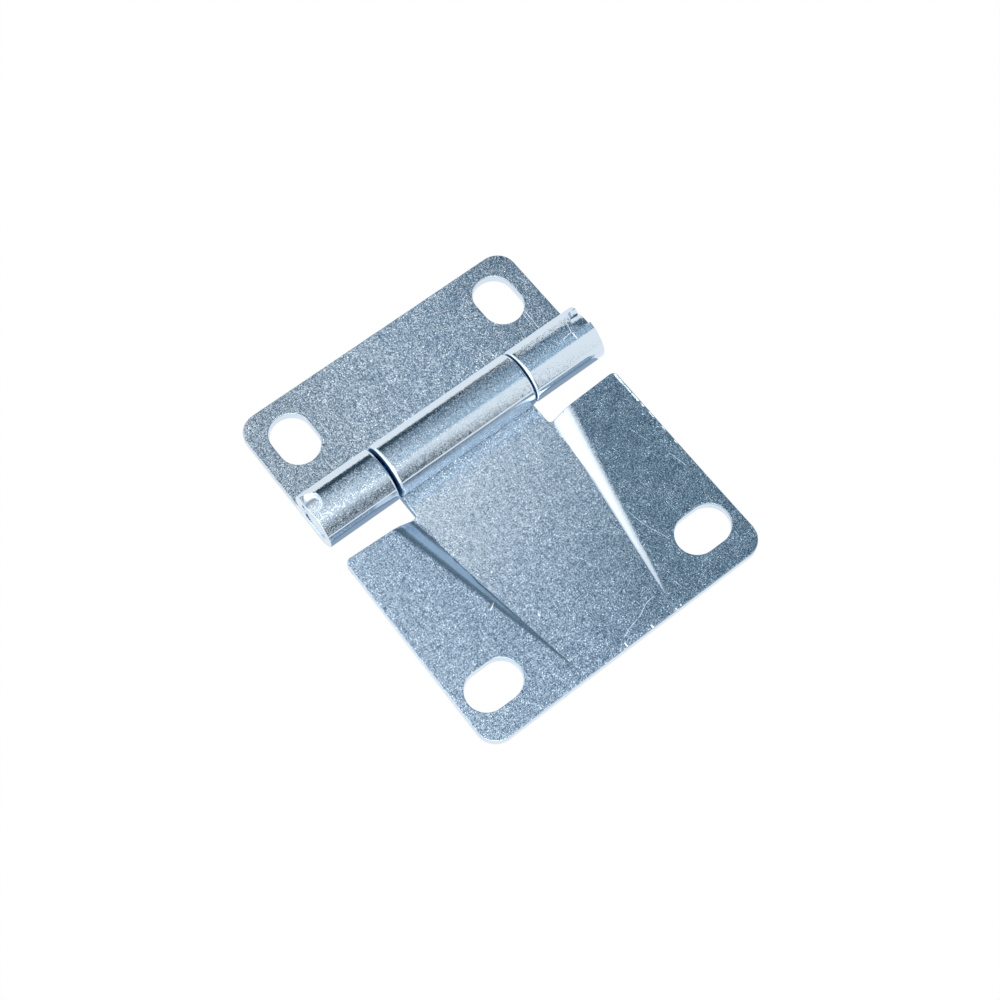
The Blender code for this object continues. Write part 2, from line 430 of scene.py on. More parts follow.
def zinc_plated_sheared_edge(name):
    """Make the finish of the blanked edges, with the die's marks across the thickness."""
    material = bpy.data.materials.new(name)
    material.use_nodes = True
    tree = material.node_tree
    shader = tree.nodes["Principled BSDF"]
    shader.inputs["Base Color"].default_value = linear(zinc_colour)
    shader.inputs["Metallic"].default_value = 1.0
    shader.inputs["Roughness"].default_value = sheared_roughness
    place = add(tree, "ShaderNodeTexCoord").outputs["Object"]
    drawn_out = add(tree, "ShaderNodeVectorMath", {
        0: place, 1: (1, 1, tear_stretch),
    }, operation="MULTIPLY")
    tears = add(tree, "ShaderNodeTexNoise", {
        "Vector": drawn_out.outputs[0], "Scale": 1 / tear_size, "Detail": 2.0, "Roughness": 0.6,
    })
    bump = add(tree, "ShaderNodeBump", {"Distance": tear_height, "Height": tears.outputs[0]})
    tree.links.new(bump.outputs[0], shader.inputs["Normal"])
    return material


def zinc_in_gap(name):
    """Make the painted shade on the end faces inside the barrel's gaps: dark blue and matt."""
    material = bpy.data.materials.new(name)
    material.use_nodes = True
    shader = material.node_tree.nodes["Principled BSDF"]
    shader.inputs["Base Color"].default_value = linear(gap_colour)
    shader.inputs["Metallic"].default_value = 0.0
    shader.inputs["Specular IOR Level"].default_value = gap_gloss
    shader.inputs["Roughness"].default_value = gap_roughness
    return material


sheared_edge = zinc_plated_sheared_edge("zinc_plated_sheared_edge")
gap_plating = zinc_in_gap("zinc_in_gap")
gap_margin = 0.0003
end_face_slope = 0.9
end_face_depth = 0.00012
inner_edge_slope = 0.1
inner_edge_depth = 0.0009


def finish_piece(name, bm, material, body, node):
    """Turn a formed bmesh into a piece on its body, in place of its solid."""
    for face in bm.faces:
        middle = face.calc_center_median()
        in_gap = knuckle_half - gap_margin < abs(middle.x) < max(cutout_sides.values()) + gap_margin
        depth = barrel_radius - hypot(middle.y - axis_y, middle.z - barrel_radius)
        end_face = abs(face.normal.x) > end_face_slope and depth > end_face_depth
        inner_edge = abs(face.normal.x) > inner_edge_slope and depth > inner_edge_depth
        # Faces inside the barrel's gaps take the dark blue painted shade.
        if in_gap and (end_face or inner_edge):
            face.material_index = 2
    mesh = bpy.data.meshes.new(name)
    bm.to_mesh(mesh)
    bm.free()
    mesh.shade_smooth()
    mesh.set_sharp_from_angle(angle=sharp_angle)
    mesh.materials.append(material)
    mesh.materials.append(sheared_edge)
    mesh.materials.append(gap_plating)
    piece = bpy.data.objects.new(name, mesh)
    bpy.context.scene.collection.objects.link(piece)
    even = piece.modifiers.new("flat_faces_stay_flat", "WEIGHTED_NORMAL")
    even.keep_sharp = True
    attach(piece, body)
    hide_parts(node)
    return piece


# Handling has left fine scratches, and a few nicks down to the bare zinc. Their flanks catch the
# light from the left.
scratch_lean = -0.30


def marked(tree, place, marks):
    """Return 1 on the marks (x, y, to x, to y, half width), and 0 elsewhere."""
    plan = add(tree, "ShaderNodeVectorMath", {0: place, 1: (1, 1, 0)}, operation="MULTIPLY").outputs[0]
    share = 0.0
    for x, y, to_x, to_y, half in marks:
        length = hypot(to_x - x, to_y - y)
        along = ((to_x - x) / length, (to_y - y) / length, 0)
        start = add(tree, "ShaderNodeVectorMath", {
            0: plan, 1: (x, y, 0),
        }, operation="SUBTRACT").outputs[0]
        reached = add(tree, "ShaderNodeVectorMath", {
            0: start, 1: along,
        }, operation="DOT_PRODUCT").outputs["Value"]
        nearest = add(tree, "ShaderNodeMapRange", {
            "Value": reached, "From Max": length, "To Max": length,
        }).outputs[0]
        foot = add(tree, "ShaderNodeVectorMath", {
            0: along, "Scale": nearest,
        }, operation="SCALE").outputs[0]
        off = add(tree, "ShaderNodeVectorMath", {
            0: start, 1: foot,
        }, operation="DISTANCE").outputs["Value"]
        mark = add(tree, "ShaderNodeMapRange", {
            "Value": off, "From Min": half, "From Max": half / 2,
        }, interpolation_type="SMOOTHSTEP").outputs[0]
        share = add(tree, "ShaderNodeMath", {0: mark, 1: share}, operation="MAXIMUM").outputs[0]
    return share


def scratched(tree, place, scratches, nicks, colour):
    """Return the colour and the surface's lean at this place, with scratches and nicks."""
    nicked = marked(tree, place, nicks)
    bared = add(tree, "ShaderNodeMix", {
        "Factor": nicked, 6: colour, 7: linear(zinc_colour),
    }, data_type="RGBA")
    share = add(tree, "ShaderNodeMath", {
        0: marked(tree, place, scratches), 1: nicked,
    }, operation="MAXIMUM")
    lean = add(tree, "ShaderNodeVectorMath", {
        0: (scratch_lean, 0, 0), "Scale": share.outputs[0],
    }, operation="SCALE")
    return bared.outputs[2], lean.outputs[0]


# The crystals run a little along the rolling direction of the sheet. The leaf's colour is darker
# towards both ends.
small_leaf_streak = 1.8
small_leaf_scratches = [
    (0.02718, 0.02340, 0.02714, 0.02143, 0.00008), (0.02660, 0.02600, 0.02640, 0.02250, 0.00006),
    (-0.01880, 0.03128, -0.01903, 0.02776, 0.00007), (0.01969, 0.03538, 0.01940, 0.03380, 0.00006),
    (0.02886, 0.01526, 0.02816, 0.01285, 0.00007), (0.02816, 0.01285, 0.02838, 0.01129, 0.00006),
    (0.02816, 0.01285, 0.02590, 0.01246, 0.00006), (0.01650, 0.02150, 0.01580, 0.02550, 0.00006),
    (0.01380, 0.02080, 0.01360, 0.02420, 0.00005), (-0.02250, 0.02120, -0.02262, 0.02420, 0.00006),
]
small_leaf_nicks = [(0.02732, 0.02646, 0.02718, 0.02340, 0.00008)]
end_film = "#bccad6"
end_film_from = 0.010
end_film_to = 0.024
end_film_softness = 0.001


def film_at_ends(tree, place):
    """Return the leaf's colour and the lean of its scratches at this place, with all its grain."""
    x, y = add(tree, "ShaderNodeSeparateXYZ", {0: place}).outputs[:2]
    out = add(tree, "ShaderNodeMath", {0: x}, operation="ABSOLUTE").outputs[0]
    thick = add(tree, "ShaderNodeMapRange", {
        "Value": out, "From Min": end_film_from, "From Max": end_film_to,
    }).outputs[0]
    barrel_back = axis_y + barrel_radius
    off_barrel = add(tree, "ShaderNodeMapRange", {
        "Value": y, "From Min": barrel_back, "From Max": barrel_back + end_film_softness,
    }).outputs[0]
    share = add(tree, "ShaderNodeMath", {0: thick, 1: off_barrel}, operation="MULTIPLY").outputs[0]
    colour = add(tree, "ShaderNodeMix", {
        "Factor": share, 6: linear(zinc_colour), 7: linear(end_film),
    }, data_type="RGBA").outputs[2]
    return (*scratched(tree, place, small_leaf_scratches, small_leaf_nicks, colour), 1.0)


halves = [
    [
        (inner, -cutout_from_axis, notch_corner_radius),
        (inner, roll_length, 0),
        (half_width, roll_length, 0),
        (half_width, -small_leaf_reach, leaf_corner_radius),
    ]
    for inner in (cutout_sides["left"], cutout_sides["right"])
]
outline = rounded_outline(both_sides(*halves))
slot_x = half_width - slot_from_side
slot_y = small_slot_from_end - small_leaf_reach
slots = [slot_outline(side * slot_x, slot_y, Vector((0, 1))) for side in (1, -1)]
small = punch_blank("small_leaf_fine", [outline, *slots])
score_roll(small)
shoulders = (
    (cutout_sides["left"], outer_shoulders["left"]),
    (-cutout_sides["right"], -outer_shoulders["right"]),
)
for end, inwards in shoulders:
    score_shoulder(small, end, inwards)
for side in (1, -1):
    for k in range(stake_steps):
        score(small, (side * (half_width - stake_reach * (1 - k / stake_steps)), 0), (0, 1))
for vertex in small.verts:
    x, s, height = vertex.co
    pressed_in = stake_mark(x, s / neutral_radius)
    pressed_in += sum(shoulder_drop(x, height, end, inwards) for end, inwards in shoulders)
    across, up = rolled(s, height, pressed_in)
    vertex.co = (-x, axis_y - across, barrel_radius + up)
finish_piece(
    "small_leaf_fine", small,
    zinc_plated_sheet("zinc_plated_small_leaf", small_leaf_streak, film_at_ends),
    "fixed_leaf", "small_leaf",
)


# Large leaf.
# The same sheet, blanked with a narrow neck. The press pushes a tapering centre panel below the
# two wings, and the neck is rolled into the centre knuckle.
wing_corner_radius = 0.0012
neck_corner_radius = 0.0008
large_slot_from_end = 0.0094
wing_rise = 0.0016
wing_clearance = 0.0040
wing_back_sweep = 0.0006
wing_draw_in = 0.0003
panel_half_width_back = 0.01705
panel_half_width_front = 0.0107
# The walls, left (-1) and right (1), aren't quite alike.
wall_width_back = {-1: 0.0031, 1: 0.0033}
wall_width_front = {-1: 0.00012, 1: 0.0004}
press_front_margin = 0.0024
panel_offset = -0.0002
rise_curve = 1.4
rise_steps = 20
wall_bend_start = 0.6
wall_bend_steps = 16
centre_shoulders = {"left": 0.00075, "right": 0.0004}

large_low, large_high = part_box("large_leaf")
large_leaf_reach = axis_y - large_low.y
wing_back_from_axis = barrel_radius + wing_clearance
wall_bend_share = 2 * (1 - wall_bend_start)
press_front = press_front_margin - large_leaf_reach
press_length = -wing_back_from_axis - press_front


def wall_line(share, front_to_back, side):
    """Return how far out this share of the wall's width lies, left (-1) or right (1)."""
    panel = panel_half_width_front + front_to_back * (panel_half_width_back - panel_half_width_front)
    wall = wall_width_front[side] + front_to_back * (wall_width_back[side] - wall_width_front[side])
    return panel + share * wall


def wall_height(share):
    """Return the wall's height, 0 to 1: straight from the panel, then bent over to the wing."""
    if share <= wall_bend_start:
        return max(share, 0.0)
    past = min(share - wall_bend_start, wall_bend_share)
    return wall_bend_start + past - past ** 2 / (2 * wall_bend_share)


def wing_lift(x, y):
    """Return how far the press lifts the sheet above the centre panel's level."""
    front_to_back = (y - press_front) / press_length
    if front_to_back <= 0:
        return 0.0
    side = 1 if x > panel_offset else -1
    panel = wall_line(0, front_to_back, side)
    share = (abs(x - panel_offset) - panel) / (wall_line(1, front_to_back, side) - panel)
    return wing_rise * front_to_back ** rise_curve * wall_height(share)


# The press polishes the centre panel and its walls, so they keep less grain, and crowns the panel a
# little, both most at the back. The wings and the front of the panel carry a painted shade, darker at the
# right.
large_leaf_streak = 1.3
film_left = "#bccfe1"
film_right = "#9bb1c0"
film_from_x = -0.008
film_to_x = 0.016
crown_lean = 0.045
crown_softness = 0.002
panel_edge_softness = 0.0003
wall_edge_softness = 0.3
wall_reach = wall_bend_start + wall_bend_share
large_leaf_scratches = [
    (0.01636, -0.02283, 0.01700, -0.02498, 0.00009), (0.01700, -0.02498, 0.01772, -0.02673, 0.00010),
    (0.01772, -0.02673, 0.01848, -0.02902, 0.00009), (0.01589, -0.01987, 0.01636, -0.02283, 0.00006),
    (0.00894, -0.03584, 0.00703, -0.03608, 0.00009), (0.00703, -0.03608, 0.00571, -0.03669, 0.00009),
    (0.00571, -0.03669, 0.00449, -0.03732, 0.00009), (0.00449, -0.03732, 0.00175, -0.03789, 0.00008),
    (0.00175, -0.03789, -0.00051, -0.03881, 0.00008),
    (0.02675, -0.00685, 0.02814, -0.01144, 0.00006), (0.02965, -0.01558, 0.03048, -0.01929, 0.00009),
    (0.02839, -0.01579, 0.02965, -0.01558, 0.00009), (0.01379, -0.03583, 0.01419, -0.03765, 0.00008),
]
large_leaf_nicks = [
    (-0.01650, -0.01966, -0.01580, -0.01935, 0.00012), (-0.01580, -0.01935, -0.01508, -0.01879, 0.00009),
    (-0.00995, -0.02560, -0.00995, -0.02590, 0.00018),
    (0.00497, -0.04000, 0.00497, -0.04040, 0.00020), (-0.00101, -0.03970, -0.00101, -0.04035, 0.00018),
    (0.01060, -0.04020, 0.01060, -0.04040, 0.00014), (0.01173, -0.04020, 0.01173, -0.04040, 0.00014),
    (0.03178, 0.00360, 0.03180, 0.00110, 0.00030), (0.03180, 0.00070, 0.03184, -0.00110, 0.00022),
    (0.03186, -0.00160, 0.03190, -0.00340, 0.00027), (0.03192, -0.00420, 0.03196, -0.00500, 0.00020),
    (0.03200, -0.00660, 0.03203, -0.00780, 0.00018), (0.03204, -0.01040, 0.03206, -0.01110, 0.00016),
    (0.03208, -0.01400, 0.03210, -0.01480, 0.00014),
]
wall_grain_left = 0.15
panel_grain_left = 0.74

# Painted shade: the front of the centre knuckle, about level with the pin's axis, is a little darker and
# bluer.
foot_film = "#b9c9d9"
foot_film_height = 0.0059
foot_film_reach = 0.0014


def filmed_foot(tree, y, z, colour):
    """Return the leaf's colour with a painted shade on the front foot of its knuckle."""
    off_foot = add(tree, "ShaderNodeMath", {0: z, 1: foot_film_height}, operation="SUBTRACT").outputs[0]
    off_foot = add(tree, "ShaderNodeMath", {0: off_foot}, operation="ABSOLUTE").outputs[0]
    on_foot = add(tree, "ShaderNodeMapRange", {
        "Value": off_foot, "From Min": foot_film_reach, "From Max": foot_film_reach / 3,
    }).outputs[0]
    in_front = add(tree, "ShaderNodeMath", {0: y, 1: axis_y}, operation="LESS_THAN").outputs[0]
    on_foot = add(tree, "ShaderNodeMath", {0: on_foot, 1: in_front}, operation="MULTIPLY").outputs[0]
    # Painted shade on the front of the centre knuckle.
    return add(tree, "ShaderNodeMix", {
        "Factor": on_foot, 6: colour, 7: linear(foot_film),
    }, data_type="RGBA").outputs[2]


def pressed_panel(tree, place):
    """Return the leaf's colour with its painted shade, its lean and the grain left at this place."""
    x, y, z = add(tree, "ShaderNodeSeparateXYZ", {0: place}).outputs
    rightwards = add(tree, "ShaderNodeMapRange", {
        "Value": x, "From Min": film_from_x, "From Max": film_to_x,
    }, interpolation_type="SMOOTHSTEP").outputs[0]
    # Painted shade: the leaf's tone darkens from left to right.
    film = add(tree, "ShaderNodeMix", {
        "Factor": rightwards, 6: linear(film_left), 7: linear(film_right),
    }, data_type="RGBA").outputs[2]
    backwards = add(tree, "ShaderNodeMapRange", {
        "Value": y, "From Min": axis_y + press_front, "From Max": axis_y + press_front + press_length,
    }).outputs[0]
    right_side = add(tree, "ShaderNodeMath", {
        0: x, 1: panel_offset,
    }, operation="GREATER_THAN").outputs[0]
    edge = add(tree, "ShaderNodeMapRange", {
        "Value": backwards, "To Min": panel_half_width_front, "To Max": panel_half_width_back,
    }).outputs[0]
    off_middle = add(tree, "ShaderNodeMath", {0: x, 1: panel_offset}, operation="SUBTRACT").outputs[0]
    out = add(tree, "ShaderNodeMath", {0: off_middle}, operation="ABSOLUTE").outputs[0]
    room = add(tree, "ShaderNodeMath", {0: edge, 1: out}, operation="SUBTRACT").outputs[0]
    inside = add(tree, "ShaderNodeMapRange", {"Value": room, "From Max": panel_edge_softness}).outputs[0]
    barrel_front = axis_y - barrel_radius
    flat = add(tree, "ShaderNodeMapRange", {
        "Value": y, "From Min": barrel_front, "From Max": barrel_front - crown_softness,
    }).outputs[0]
    crowned_back = add(tree, "ShaderNodeMath", {0: inside, 1: backwards}, operation="MULTIPLY").outputs[0]
    crowned = add(tree, "ShaderNodeMath", {0: crowned_back, 1: flat}, operation="MULTIPLY").outputs[0]
    wall_front = add(tree, "ShaderNodeMapRange", {
        "Value": right_side,
        "To Min": wall_reach * wall_width_front[-1], "To Max": wall_reach * wall_width_front[1],
    }).outputs[0]
    wall_back = add(tree, "ShaderNodeMapRange", {
        "Value": right_side,
        "To Min": wall_reach * wall_width_back[-1], "To Max": wall_reach * wall_width_back[1],
    }).outputs[0]
    wall = add(tree, "ShaderNodeMapRange", {
        "Value": backwards, "To Min": wall_front, "To Max": wall_back,
    }).outputs[0]
    wall_room = add(tree, "ShaderNodeMath", {0: room, 1: wall}, operation="ADD").outputs[0]
    fading = add(tree, "ShaderNodeMath", {
        0: wall, 1: wall_edge_softness,
    }, operation="MULTIPLY").outputs[0]
    on_wall = add(tree, "ShaderNodeMapRange", {"Value": wall_room, "From Max": fading}).outputs[0]
    # The painted shade is lifted fully on the walls, and on the panel more towards the back.
    rubbed = add(tree, "ShaderNodeMapRange", {
        "Value": inside, "To Min": 1.0, "To Max": backwards,
    }).outputs[0]
    polished = add(tree, "ShaderNodeMath", {0: on_wall, 1: rubbed}, operation="MULTIPLY").outputs[0]
    # Painted shade on the wings and the front of the panel; the walls and the back of the panel keep the
    # plain zinc colour.
    colour = add(tree, "ShaderNodeMix", {
        "Factor": polished, 6: film, 7: linear(zinc_colour),
    }, data_type="RGBA").outputs[2]
    colour = filmed_foot(tree, y, z, colour)
    colour, scratches = scratched(tree, place, large_leaf_scratches, large_leaf_nicks, colour)
    lean = add(tree, "ShaderNodeVectorMath", {
        0: (-crown_lean, 0, 0), 1: crowned, 2: scratches,
    }, operation="MULTIPLY_ADD").outputs[0]
    off_panel = add(tree, "ShaderNodeMath", {0: 1.0, 1: inside}, operation="SUBTRACT").outputs[0]
    wall_only = add(tree, "ShaderNodeMath", {0: on_wall, 1: off_panel}, operation="MULTIPLY").outputs[0]
    panel_grain = add(tree, "ShaderNodeMapRange", {
        "Value": crowned, "To Min": 1.0, "To Max": panel_grain_left,
    }).outputs[0]
    grain_left = add(tree, "ShaderNodeMapRange", {
        "Value": wall_only, "To Min": panel_grain, "To Max": wall_grain_left,
    }).outputs[0]
    return colour, lean, grain_left


outline = rounded_outline(both_sides([
    (knuckle_half, roll_length, 0),
    (knuckle_half, -wing_back_from_axis, neck_corner_radius),
    (half_width - wing_draw_in, wing_back_sweep - wing_back_from_axis, wing_corner_radius),
    (half_width, -large_leaf_reach, leaf_corner_radius),
]))
slot_y = large_slot_from_end - large_leaf_reach
slots = [slot_outline(side * slot_x, slot_y, Vector((1, 0))) for side in (1, -1)]
large = punch_blank("large_leaf_fine", [outline, *slots])
score_roll(large)
shoulders = ((-knuckle_half, centre_shoulders["left"]), (knuckle_half, -centre_shoulders["right"]))
for end, inwards in shoulders:
    score_shoulder(large, end, inwards)
for k in range(rise_steps):
    score(large, (0, press_front + press_length * k / rise_steps), (1, 0))
shares = [0, wall_bend_start / 2]
shares += [
    wall_bend_start + wall_bend_share * k / wall_bend_steps for k in range(wall_bend_steps + 1)
]
for side in (1, -1):
    for share in shares:
        front = wall_line(share, 0, side)
        outwards = side * (wall_line(share, 1, side) - front)
        score(large, (side * front + panel_offset, press_front), (outwards, press_length))
for vertex in large.verts:
    x, s, height = vertex.co
    if s < 0:
        height += wing_lift(x, s)
    pressed_in = sum(shoulder_drop(x, height, end, inwards) for end, inwards in shoulders)
    across, up = rolled(s, height, pressed_in)
    vertex.co = (x, axis_y + across, barrel_radius + up)
finish_piece(
    "large_leaf_fine", large,
    zinc_plated_sheet("zinc_plated_large_leaf", large_leaf_streak, pressed_panel),
    "swinging_leaf", "large_leaf",
)


# Hinge pin.
# Plain steel rod, cut to length with its end edges broken, and plated. Only its two ends show,
# behind the staked lips of the outer knuckles.
pin = frame["nodes"]["hinge_pin"]


def worn_between(tree, place):
    """Return the pin's colour: plated at its ends, with a dark blue painted shade between them, inside the
    barrel.
    """
    x = add(tree, "ShaderNodeSeparateXYZ", {0: place}).outputs["X"]
    out = add(tree, "ShaderNodeMath", {0: x}, operation="ABSOLUTE").outputs[0]
    inner = add(tree, "ShaderNodeMath", {
        0: out, 1: half_width - stake_reach,
    }, operation="LESS_THAN").outputs[0]
    # Painted shade: dark blue between the pin's ends.
    colour = add(tree, "ShaderNodeMix", {
        "Factor": inner, 6: linear(zinc_colour), 7: linear(gap_colour),
    }, data_type="RGBA").outputs[2]
    return colour, (0, 0, 0), 1.0


pin.data.materials.clear()
pin.data.materials.append(zinc_plated_sheet("zinc_plated_pin", 1.0, worn_between))


# Table.
# White and matt. The camera and the metal see it lifted most of the way to paper white, so that
# only the hinge's own soft shadow is left on it.
table_colour = "#f4f4f2"
table_half = 0.30
table_front = 0.075
table_lift = 0.99
floor_mesh = bpy.data.meshes.new("table")
corners = [
    (-table_half, -table_front), (table_half, -table_front),
    (table_half, table_half), (-table_half, table_half),
]
floor_mesh.from_pydata([(x, y, 0) for x, y in corners], [], [(0, 1, 2, 3)])
floor = bpy.data.objects.new("table", floor_mesh)
bpy.context.scene.collection.objects.link(floor)
white = bpy.data.materials.new("matt_white_table")
white.use_nodes = True
tree = white.node_tree
shader = tree.nodes["Principled BSDF"]
shader.inputs["Base Color"].default_value = linear(table_colour)
shader.inputs["Roughness"].default_value = 1.0
shader.inputs["Specular IOR Level"].default_value = 0.0
rays = add(tree, "ShaderNodeLightPath")
lift = add(tree, "ShaderNodeMath", {
    0: rays.outputs["Is Camera Ray"], 1: table_lift,
}, operation="MULTIPLY")
paper_white = add(tree, "ShaderNodeEmission", {"Strength": 1.0})
both = add(tree, "ShaderNodeMixShader", {
    0: lift.outputs[0], 1: shader.outputs[0], 2: paper_white.outputs[0],
})

# The metal sees the table fully lit, but dim and blue in the shade between the barrel and the
# wings.
shade_colour = "#9eaebf"
shade_past_cutout = 0.0040
shade_from_y = axis_y - cutout_from_axis - shade_past_cutout
spot = add(tree, "ShaderNodeTexCoord").outputs["Object"]
x, y = add(tree, "ShaderNodeSeparateXYZ", {0: spot}).outputs[:2]
out = add(tree, "ShaderNodeMath", {0: x}, operation="ABSOLUTE").outputs[0]
in_reach = add(tree, "ShaderNodeMath", {0: out, 1: half_width}, operation="LESS_THAN").outputs[0]
in_shade = add(tree, "ShaderNodeMath", {
    0: y, 1: (axis_y + shade_from_y) / 2, 2: (axis_y - shade_from_y) / 2,
}, operation="COMPARE").outputs[0]
shaded = add(tree, "ShaderNodeMath", {0: in_reach, 1: in_shade}, operation="MULTIPLY").outputs[0]
table_mirrored = add(tree, "ShaderNodeMix", {
    "Factor": shaded, 6: (1, 1, 1, 1), 7: linear(shade_colour),
}, data_type="RGBA").outputs[2]
mirrored_table = add(tree, "ShaderNodeEmission", {"Color": table_mirrored, "Strength": 1.0})
seen = add(tree, "ShaderNodeMixShader", {
    0: rays.outputs["Is Glossy Ray"], 1: both.outputs[0], 2: mirrored_table.outputs[0],
})
tree.links.new(seen.outputs[0], tree.nodes["Material Output"].inputs["Surface"])
floor_mesh.materials.append(white)


# Studio.
# A dim blue room, which the metal mirrors: a wide white light from the left to overhead, a white
# screen in front on the right, a band along the horizon behind, and a pale panel on the right.
room_colours = [
    (0.0, "#3e4d58"), (0.085, "#64798a"), (0.2, "#a5bfd2"), (0.42, "#a9c2d4"), (0.56, "#a6bed0"),
    (0.63, "#99b1c4"), (0.69, "#95adbf"), (0.755, "#849daf"), (0.81, "#738c9e"), (0.86, "#698192"),
    (0.90, "#50677a"), (0.935, "#36474f"), (0.965, "#394a56"),
]
world = bpy.data.worlds.new("studio")
bpy.context.scene.world = world
world.use_nodes = True
tree = world.node_tree
background = tree.nodes["Background"]
direction = add(tree, "ShaderNodeTexCoord").outputs["Generated"]
heading = add(tree, "ShaderNodeSeparateXYZ", {0: direction})
to_right, to_back, up = heading.outputs
front_to_back = add(tree, "ShaderNodeMapRange", {"Value": to_back, "From Min": -1.0, "From Max": 1.0})
room = add(tree, "ShaderNodeValToRGB", {"Fac": front_to_back.outputs[0]})
elements = room.color_ramp.elements
elements[0].position = room_colours[0][0]
elements[0].color = linear(room_colours[0][1])
elements[1].position = room_colours[-1][0]
elements[1].color = linear(room_colours[-1][1])
for position, code in room_colours[1:-1]:
    elements.new(position).color = linear(code)

# The room is cluttered, so the tilted crystals pick out lighter and darker things in it.
clutter_size = 0.028
clutter_seed = 2.0
clutter_low = 0.43
clutter_high = 0.57
clutter_dark = 0.15
clutter_light = 1.75
clutter = add(tree, "ShaderNodeTexNoise", {
    "Vector": direction, "W": clutter_seed, "Scale": 1 / clutter_size, "Detail": 2.0,
}, noise_dimensions="4D")
cluttered = add(tree, "ShaderNodeMapRange", {
    "Value": clutter.outputs[0], "From Min": clutter_low, "From Max": clutter_high,
    "To Min": clutter_dark, "To Max": clutter_light,
})
dark_side_from = 0.30
dark_side_to = 0.42
dark_side_share = 0.45
rightwards = add(tree, "ShaderNodeMapRange", {
    "Value": to_right, "From Min": dark_side_from, "From Max": dark_side_to,
    "To Min": 1.0, "To Max": dark_side_share,
}, interpolation_type="SMOOTHSTEP")
amount = add(tree, "ShaderNodeMath", {
    0: cluttered.outputs[0], 1: rightwards.outputs[0],
}, operation="MULTIPLY")
room_seen = add(tree, "ShaderNodeVectorMath", {
    0: room.outputs["Color"], "Scale": amount.outputs[0],
}, operation="SCALE")

# The light from the left: its right edge is soft, and it fades towards the front and the back.
light_full = 0.15
light_end = 0.197
light_reach = 1.345
light_width = 0.85
light_spread = 3.0
light_middle = -0.13
in_light = add(tree, "ShaderNodeMapRange", {
    "Value": to_right, "From Min": light_end, "From Max": light_full,
}, interpolation_type="SMOOTHSTEP")
past_middle = add(tree, "ShaderNodeMath", {0: to_back, 1: light_middle}, operation="SUBTRACT")
off_middle = add(tree, "ShaderNodeMath", {0: past_middle.outputs[0]}, operation="ABSOLUTE")
spreading = add(tree, "ShaderNodeMath", {
    0: to_right, 1: light_spread, 2: off_middle.outputs[0],
}, operation="MULTIPLY_ADD")
over_middle = add(tree, "ShaderNodeMapRange", {
    "Value": spreading.outputs[0], "From Min": light_reach, "From Max": light_reach - light_width,
})
side_light = add(tree, "ShaderNodeMath", {
    0: in_light.outputs[0], 1: over_middle.outputs[0],
}, operation="MULTIPLY")

# The front screen: its left edge leans, and its top edge is sharp.
screen_left = 0.262
screen_lean = -0.09
screen_softness = 0.04
screen_top = -0.412
screen_top_softness = 0.02
leaning = add(tree, "ShaderNodeMath", {
    0: up, 1: screen_lean, 2: screen_left,
}, operation="MULTIPLY_ADD")
past_left = add(tree, "ShaderNodeMath", {
    0: to_right, 1: leaning.outputs[0],
}, operation="SUBTRACT")
inside_left = add(tree, "ShaderNodeMapRange", {
    "Value": past_left.outputs[0], "From Min": -screen_softness, "From Max": screen_softness,
}, interpolation_type="SMOOTHSTEP")
under_top = add(tree, "ShaderNodeMapRange", {
    "Value": to_back,
    "From Min": screen_top + screen_top_softness, "From Max": screen_top - screen_top_softness,
}, interpolation_type="SMOOTHSTEP")
screen = add(tree, "ShaderNodeMath", {
    0: inside_left.outputs[0], 1: under_top.outputs[0],
}, operation="MULTIPLY")

# The horizon band behind: white, and higher on the right, but not far to the right.
band_height = 0.155
band_softness = 0.032
band_rise = 0.40
band_rise_from = 0.280
band_rise_to = 0.292
band_fall_from = 0.50
band_fall_to = 0.62
behind_softness = 0.1
higher = add(tree, "ShaderNodeMapRange", {
    "Value": to_right, "From Min": band_rise_from, "From Max": band_rise_to,
    "To Min": 0.0, "To Max": band_rise,
}, interpolation_type="SMOOTHSTEP")
lower = add(tree, "ShaderNodeMapRange", {
    "Value": to_right, "From Min": band_fall_to, "From Max": band_fall_from,
}, interpolation_type="SMOOTHSTEP")
top = add(tree, "ShaderNodeMath", {
    0: higher.outputs[0], 1: lower.outputs[0], 2: band_height,
}, operation="MULTIPLY_ADD")
over_band = add(tree, "ShaderNodeMath", {0: top.outputs[0], 1: up}, operation="SUBTRACT")
in_band = add(tree, "ShaderNodeMapRange", {
    "Value": over_band.outputs[0], "From Min": -band_softness, "From Max": band_softness,
}, interpolation_type="SMOOTHSTEP")
behind = add(tree, "ShaderNodeMapRange", {
    "Value": to_back, "From Min": -behind_softness, "From Max": behind_softness,
}, interpolation_type="SMOOTHSTEP")
band = add(tree, "ShaderNodeMath", {
    0: in_band.outputs[0], 1: behind.outputs[0],
}, operation="MULTIPLY")

# The low panel on the right, pale blue.
low_panel_from = 0.64
low_panel_to = 0.84
low_panel_colour = "#a9c0d6"
low_panel = add(tree, "ShaderNodeMapRange", {
    "Value": to_right, "From Min": low_panel_from, "From Max": low_panel_to,
}, interpolation_type="SMOOTHSTEP")
room_seen = add(tree, "ShaderNodeMix", {
    "Factor": low_panel.outputs[0], 6: room_seen.outputs[0], 7: linear(low_panel_colour),
}, data_type="RGBA").outputs[2]

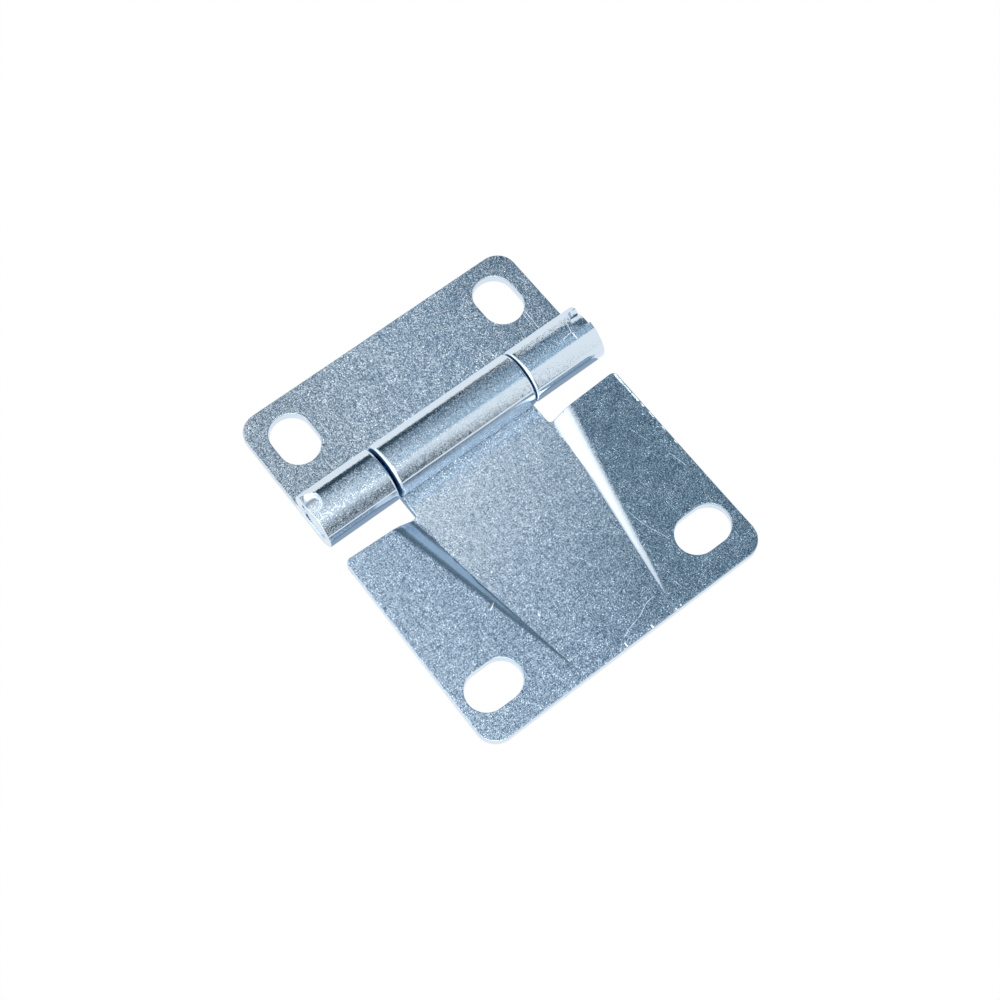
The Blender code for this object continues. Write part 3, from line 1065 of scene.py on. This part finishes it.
# Far to the left the light is nearer and so brighter. The camera itself sees plain white.
white_parts = add(tree, "ShaderNodeMath", {
    0: screen.outputs[0], 1: band.outputs[0],
}, operation="MAXIMUM")
all_parts = add(tree, "ShaderNodeMath", {
    0: white_parts.outputs[0], 1: side_light.outputs[0],
}, operation="MAXIMUM")
near_light_from = -0.05
near_light_to = -0.30
near_light_strength = 1.5
nearer = add(tree, "ShaderNodeMapRange", {
    "Value": to_right, "From Min": near_light_from, "From Max": near_light_to,
    "To Min": 1.0, "To Max": near_light_strength,
})
rays = add(tree, "ShaderNodeLightPath")
shown = add(tree, "ShaderNodeMath", {
    0: all_parts.outputs[0], 1: rays.outputs["Is Camera Ray"],
}, operation="MAXIMUM")
studio = add(tree, "ShaderNodeMix", {
    "Factor": shown.outputs[0], 6: room_seen, 7: (1, 1, 1, 1),
}, data_type="RGBA")
tree.links.new(studio.outputs[2], background.inputs["Color"])
seen_strength = add(tree, "ShaderNodeMapRange", {
    "Value": rays.outputs["Is Camera Ray"], "To Min": nearer.outputs[0], "To Max": 1.0,
})
tree.links.new(seen_strength.outputs[0], background.inputs["Strength"])


def panel_light(name, azimuth, elevation, distance, width, height, radiance):
    """Hang a soft panel that faces the hinge, at this heading clockwise from +Y."""
    light = bpy.data.lights.new(name, "AREA")
    light.shape = "RECTANGLE"
    light.size = width
    light.size_y = height
    light.energy = radiance * pi * width * height
    lamp = bpy.data.objects.new(name, light)
    bpy.context.scene.collection.objects.link(lamp)
    towards = Vector((
        sin(radians(azimuth)) * cos(radians(elevation)),
        cos(radians(azimuth)) * cos(radians(elevation)),
        sin(radians(elevation)),
    ))
    lamp.location = towards * distance
    lamp.rotation_mode = "QUATERNION"
    lamp.rotation_quaternion = towards.to_track_quat("Z", "Y")
    lamp.visible_camera = False


panel_light("soft_box", azimuth=-145, elevation=55, distance=1.2, width=0.8, height=0.8, radiance=1.6)


# Camera.
# Placed as the photograph's was: high over the hinge's left front, turned 35 degrees from its
# axis, with a lens of about 65 mm on a full frame.
camera_data = bpy.data.cameras.new("camera")
camera_data.sensor_width = 36.0
camera_data.lens = 64.71
camera_data.clip_start = 0.01
camera = bpy.data.objects.new("camera", camera_data)
bpy.context.scene.collection.objects.link(camera)
bpy.context.scene.camera = camera
aim = Vector((-0.001497, -0.003097, 0.0020))
camera_distance = 0.33915
camera_azimuth = radians(35.07)
camera_elevation = radians(66.275)
camera_roll = radians(-2.838)
back = Vector((
    -sin(camera_azimuth) * cos(camera_elevation),
    -cos(camera_azimuth) * cos(camera_elevation),
    sin(camera_elevation),
))
camera.location = aim + back * camera_distance
camera.rotation_mode = "QUATERNION"
camera.rotation_quaternion = back.to_track_quat("Z", "Y") @ Quaternion((0, 0, 1), camera_roll)
bpy.context.scene.view_settings.view_transform = "Standard"
